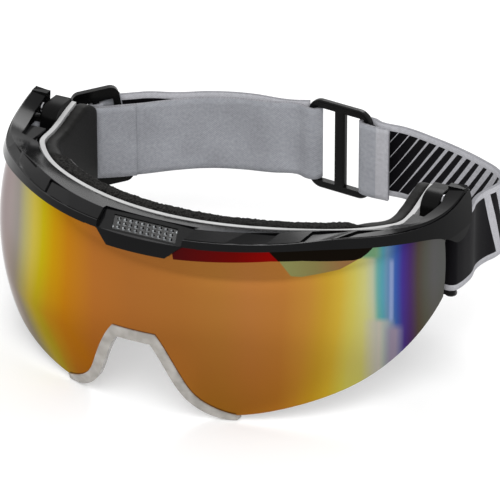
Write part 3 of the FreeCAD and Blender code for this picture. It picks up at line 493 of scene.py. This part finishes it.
def porous(name, roughness, specular, scale, detail, stops, strength, depth):
    """Foam or fleece: one noise for its cells or pile, in its colour and its relief."""
    material, tree, shader = new_finish(name, roughness=roughness, specular=specular)
    cells = noise(tree, object_place(tree), scale, detail)
    tree.links.new(colour_ramp(tree, cells, stops), shader.inputs["Base Color"])
    raised(tree, shader, cells, strength, depth)
    return material, shader


foam_black, shader = porous("foam_black", roughness=0.95, specular=0.15, scale=1500.0, detail=4.0,
                            stops=[(0.38, "040404"), (0.62, "2A2928")], strength=0.9, depth=0.0004)
brow_cushion = soft_solid("brow_cushion", "brow_foam", 0.00065, 6, foam_black)
fuzz_texture = bpy.data.textures.new("foam_fuzz", "CLOUDS")
fuzz_texture.noise_scale = 0.0008
fuzz_texture.noise_depth = 1
fuzz = brow_cushion.modifiers.new("fuzz", "DISPLACE")
fuzz.texture = fuzz_texture
fuzz.strength = 0.0009
fuzz.mid_level = 0.5
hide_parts("brow_foam")
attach(brow_cushion, "carrier")


# ---------------------------------------------------------------------------
# Face lining
# Black brushed fleece, laminated to the inner side of the brow foam, where it
# touches the skin.
# ---------------------------------------------------------------------------
fleece_black, shader = porous("fleece_black", roughness=0.9, specular=0.1, scale=2600.0, detail=3.0,
                              stops=[(0.35, "0C0C0D"), (0.65, "242425")], strength=0.7, depth=0.0002)
shader.inputs["Sheen Weight"].default_value = 0.25
brow_lining = soft_solid("brow_lining", "face_lining", 0.00035, 2, fleece_black)
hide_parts("face_lining")
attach(brow_lining, "carrier")


# ---------------------------------------------------------------------------
# Temple pads
# Smooth black skinned foam inside each end of the carrier, against the
# wearer's temples.
# ---------------------------------------------------------------------------
skinned_foam, shader = porous("skinned_foam", roughness=0.55, specular=0.14, scale=1800.0, detail=3.0,
                              stops=[(0.35, "0B0B0A"), (0.65, "161514")], strength=0.3, depth=0.0001)
for side in ("right", "left"):
    pad = soft_solid("pad_" + side, "temple_pad_" + side, 0.0009, 8, skinned_foam)
    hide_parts("temple_pad_" + side)
    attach(pad, "carrier")


# ---------------------------------------------------------------------------
# Right strap
# Short elastic webbing, woven black with light edges and slanted stripes. Its
# ends are folded round the strap bar and the connector, and sewn.
# ---------------------------------------------------------------------------
webbing_low, webbing_high = -0.0032, 0.0253
webbing_width = webbing_high - webbing_low
webbing_thick = 0.0013
webbing_rows = 12
warp_pitch, weft_pitch = 0.0008, 0.0010


def route_points(name, route):
    """Smooth run through plan points in millimetres, as a list of points in metres."""
    path = bpy.data.curves.new(name + "_route", "CURVE")
    path.dimensions = "3D"
    path.resolution_u = 5
    spline = path.splines.new("BEZIER")
    spline.bezier_points.add(len(route) - 1)
    for point, (x, y) in zip(spline.bezier_points, route):
        point.co = (x / 1000, y / 1000, 0)
        point.handle_left_type = point.handle_right_type = "AUTO"
    drawn = bpy.data.objects.new(name + "_route", path)
    bpy.context.scene.collection.objects.link(drawn)
    bpy.context.view_layer.update()
    mesh = bpy.data.meshes.new_from_object(drawn)
    points = [v.co.copy() for v in mesh.vertices]
    bpy.data.objects.remove(drawn)
    return points


def webbing(name, route, outside, inside, edge, thick=webbing_thick):
    """Band of webbing drawn along its route; UV is metres along and across it."""
    points = route_points(name, route)
    build = bmesh.new()
    reach = build.verts.layers.float.new("reach")
    levels = [webbing_low + webbing_width * i / webbing_rows for i in range(webbing_rows + 1)]
    column = [build.verts.new(points[0] + Vector((0, 0, level))) for level in levels]
    edges = [build.edges.new(pair) for pair in zip(column, column[1:])]
    length = 0.0
    for before, after in zip(points, points[1:]):
        length += (after - before).length
        grown = bmesh.ops.extrude_edge_only(build, edges=edges)["geom"]
        column = [g for g in grown if isinstance(g, bmesh.types.BMVert)]
        edges = [g for g in grown if isinstance(g, bmesh.types.BMEdge)]
        for vert in column:
            vert[reach] = length
        bmesh.ops.translate(build, verts=column, vec=after - before)
    uv = build.loops.layers.uv.new("webbing")
    for face in build.faces:
        face.smooth = True
        for loop in face.loops:
            loop[uv].uv = (loop.vert[reach], loop.vert.co.z - webbing_low)
    made = object_from(name, build, outside, inside, edge)
    wall = made.modifiers.new("wall", "SOLIDIFY")
    wall.thickness = thick
    wall.offset = 0.0
    wall.material_offset = 1
    wall.material_offset_rim = 2
    return made


def woven(name, ground, border=None, stripes=None, bars=(), patches=(), border_width=0.0022):
    """Webbing: a rib across, threads along, light edges, slanted stripes and sewn patches."""
    material, tree, shader = new_finish(name, roughness=0.8, specular=0.08)
    shader.inputs["Sheen Weight"].default_value = 0.04
    layer = tree.nodes.new("ShaderNodeUVMap")
    layer.uv_map = "webbing"
    place = layer.outputs["UV"]
    along, across = parts_of(tree, place)[:2]
    warp = math_node(tree, "SINE", math_node(tree, "MULTIPLY", across, 2 * math.pi / warp_pitch))
    weft = math_node(tree, "SINE", math_node(tree, "MULTIPLY", along, 2 * math.pi / weft_pitch))
    fibre = noise(tree, place, 850.0, 3.0)
    rub = noise(tree, place, 70.0, 2.0)
    relief = math_node(tree, "MULTIPLY", math_node(tree, "MULTIPLY", warp, weft), 0.12)
    for part, weight in ((fibre, 0.5), (rub, 0.25)):
        relief = math_node(tree, "ADD", relief, math_node(tree, "MULTIPLY", part, weight))
    current = colour_ramp(tree, rub, [(0.3, dimmed(ground, 0.9)), (0.7, linear(ground))])

    def slanted(slant):
        return math_node(tree, "ADD", along, math_node(tree, "MULTIPLY", across, slant))

    if stripes:
        tone, start, end, pitch, slant = stripes
        cell = math_node(tree, "FRACT", math_node(tree, "DIVIDE", slanted(slant), pitch))
        share = span(tree, along, start, end, 0.82, 0.07)
        current = lay(tree, math_node(tree, "LESS_THAN", cell, share), tone, current)
    for start, end, slant in bars:
        off = away(tree, slanted(slant), (start + end) / 2)
        current = lay(tree, math_node(tree, "LESS_THAN", off, (end - start) / 2), border, current)
    if border:
        middle = webbing_width / 2
        rim = math_node(tree, "GREATER_THAN", away(tree, across, middle), middle - border_width)
        current = lay(tree, rim, border, current)
    for start, tone in patches:
        current = lay(tree, math_node(tree, "GREATER_THAN", along, start), tone, current)
    shaded = tree.nodes.new("ShaderNodeVectorMath")
    shaded.operation = "SCALE"
    tree.links.new(current, shaded.inputs[0])
    tree.links.new(math_node(tree, "ADD", relief, 0.6), shaded.inputs["Scale"])
    tree.links.new(shaded.outputs[0], shader.inputs["Base Color"])
    raised(tree, shader, relief, 0.8, 0.00012)
    return material


light_thread, dark_thread, silver_thread = "B2B2B7", "09080C", "9D9FA5"
strap_outside = woven("strap_outside", dark_thread, border=light_thread)
strap_printed = woven("strap_printed", dark_thread, border=light_thread,
                      bars=[(0.052, 0.0555, 0.3), (0.0585, 0.062, 0.3)],
                      patches=[(0.1255, silver_thread), (0.1400, light_thread)])
strap_inside = woven("strap_inside", dark_thread, border=light_thread,
                     stripes=(light_thread, 0.052, 0.114, 0.0046, 0.75))
strap_edge = woven("strap_edge", "929297")
silver_web = woven("silver_web", silver_thread)

right_route = [
    (82.7, 3.6), (81.75, -7.0), (81.6, -11.3), (82.16, -12.84), (84.0, -13.7), (85.84, -12.84),
    (86.4, -11.3), (86.9, -5.6), (86.7, -1.5), (85.3, 5.0), (85.9, 11.5), (87.6, 17.5), (87.2, 23.4),
    (82.6, 28.4), (75.0, 32.6), (63.0, 37.4), (50.0, 41.2), (38.5, 43.6), (29.18, 43.47),
    (24.73, 45.2), (22.63, 44.58), (21.59, 42.66), (22.21, 40.56), (24.14, 39.51), (34.3, 39.18)]
right_webbing = webbing("right_webbing", right_route, strap_printed, strap_inside, strap_edge)
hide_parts("strap_right")
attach(right_webbing, "carrier")


# ---------------------------------------------------------------------------
# Left strap
# The long half of the strap, silver grey on the side that faces the head. It
# runs from the left strap bar past the pad to the connector.
# ---------------------------------------------------------------------------
left_route = [
    (-80.0, 3.2), (-82.6, 0.9), (-85.0, -2.4), (-86.2, -6.4), (-86.4, -11.3), (-85.84, -12.84),
    (-84.0, -13.7), (-82.16, -12.84), (-81.64, -10.88), (-81.75, -7.0), (-80.3, -1.2), (-75.6, 2.8),
    (-69.4, 6.8), (-62.5, 11.6), (-55.5, 17.2), (-46.8, 25.2), (-37.0, 32.4), (-26.0, 37.2),
    (-14.0, 40.4), (-5.0, 43.54), (0.47, 42.0), (2.57, 42.62), (3.61, 44.54), (2.99, 46.64),
    (1.06, 47.69)]
left_webbing = webbing("left_webbing", left_route, silver_web, strap_outside, strap_edge)
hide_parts("strap_left")
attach(left_webbing, "carrier")


# ---------------------------------------------------------------------------
# Hem of the left strap
# The turned end of the webbing, which lies flat on the inner face from the
# strap bar to a sewn edge behind the pad.
# ---------------------------------------------------------------------------
hem_route = [(-68.85, 6.0), (-65.4, 8.3), (-61.9, 10.85), (-59.4, 12.85), (-56.7, 15.0)]
hem_webbing = webbing("hem_webbing", hem_route, silver_web, silver_web, strap_edge, thick=0.0008)
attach(hem_webbing, "carrier")


# ---------------------------------------------------------------------------
# Strap tail
# The adjustable outer layer, a length of the same webbing that comes back from
# its fold round the connector to the slider.
# ---------------------------------------------------------------------------
tail_route = [(-2.05, 47.75), (-9.0, 44.8), (-24.5, 42.6), (-37.5, 37.8), (-48.5, 31.0),
              (-58.59, 26.51), (-61.74, 24.05), (-65.29, 21.28), (-68.83, 18.51)]
tail_webbing = webbing("tail_webbing", tail_route, silver_web, strap_outside, strap_edge)
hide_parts("strap_tail")
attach(tail_webbing, "carrier")


# ---------------------------------------------------------------------------
# Slider loop
# A short fold of the same webbing sewn round the middle bar of the slider. It
# hangs a little askew with the slider.
# ---------------------------------------------------------------------------
loop_route = [(-62.97, 19.29), (-64.86, 17.81), (-66.6, 15.81), (-67.36, 13.06), (-66.99, 11.83),
              (-68.07, 10.22), (-69.89, 9.56), (-71.24, 10.54), (-71.59, 12.68), (-70.48, 15.26),
              (-67.67, 17.51), (-65.59, 19.07), (-63.86, 20.43)]
loop_webbing = webbing("loop_webbing", loop_route, strap_outside, silver_web, strap_edge)
slider_middle = Vector((-0.0693, 0.0118, 0.01105))
slider_turn = math.radians(38)
slider_face = Vector((math.sin(slider_turn), -math.cos(slider_turn), 0))
askew = Matrix.Rotation(math.radians(9), 4, slider_face)
to_slider = Matrix.Translation(slider_middle)
loop_webbing.data.transform(to_slider @ askew @ to_slider.inverted())
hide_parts("slider_loop")
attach(loop_webbing, "slider")


# ---------------------------------------------------------------------------
# Connector ring and slider
# Three-bar frames injection moulded in black acetal with a low gloss. The
# folds of the webbing hold them.
# ---------------------------------------------------------------------------
acetal_black = moulded_plastic("acetal_black", "090909", 0.26, 0.15)
give(acetal_black, "connector_ring", "strap_slider")
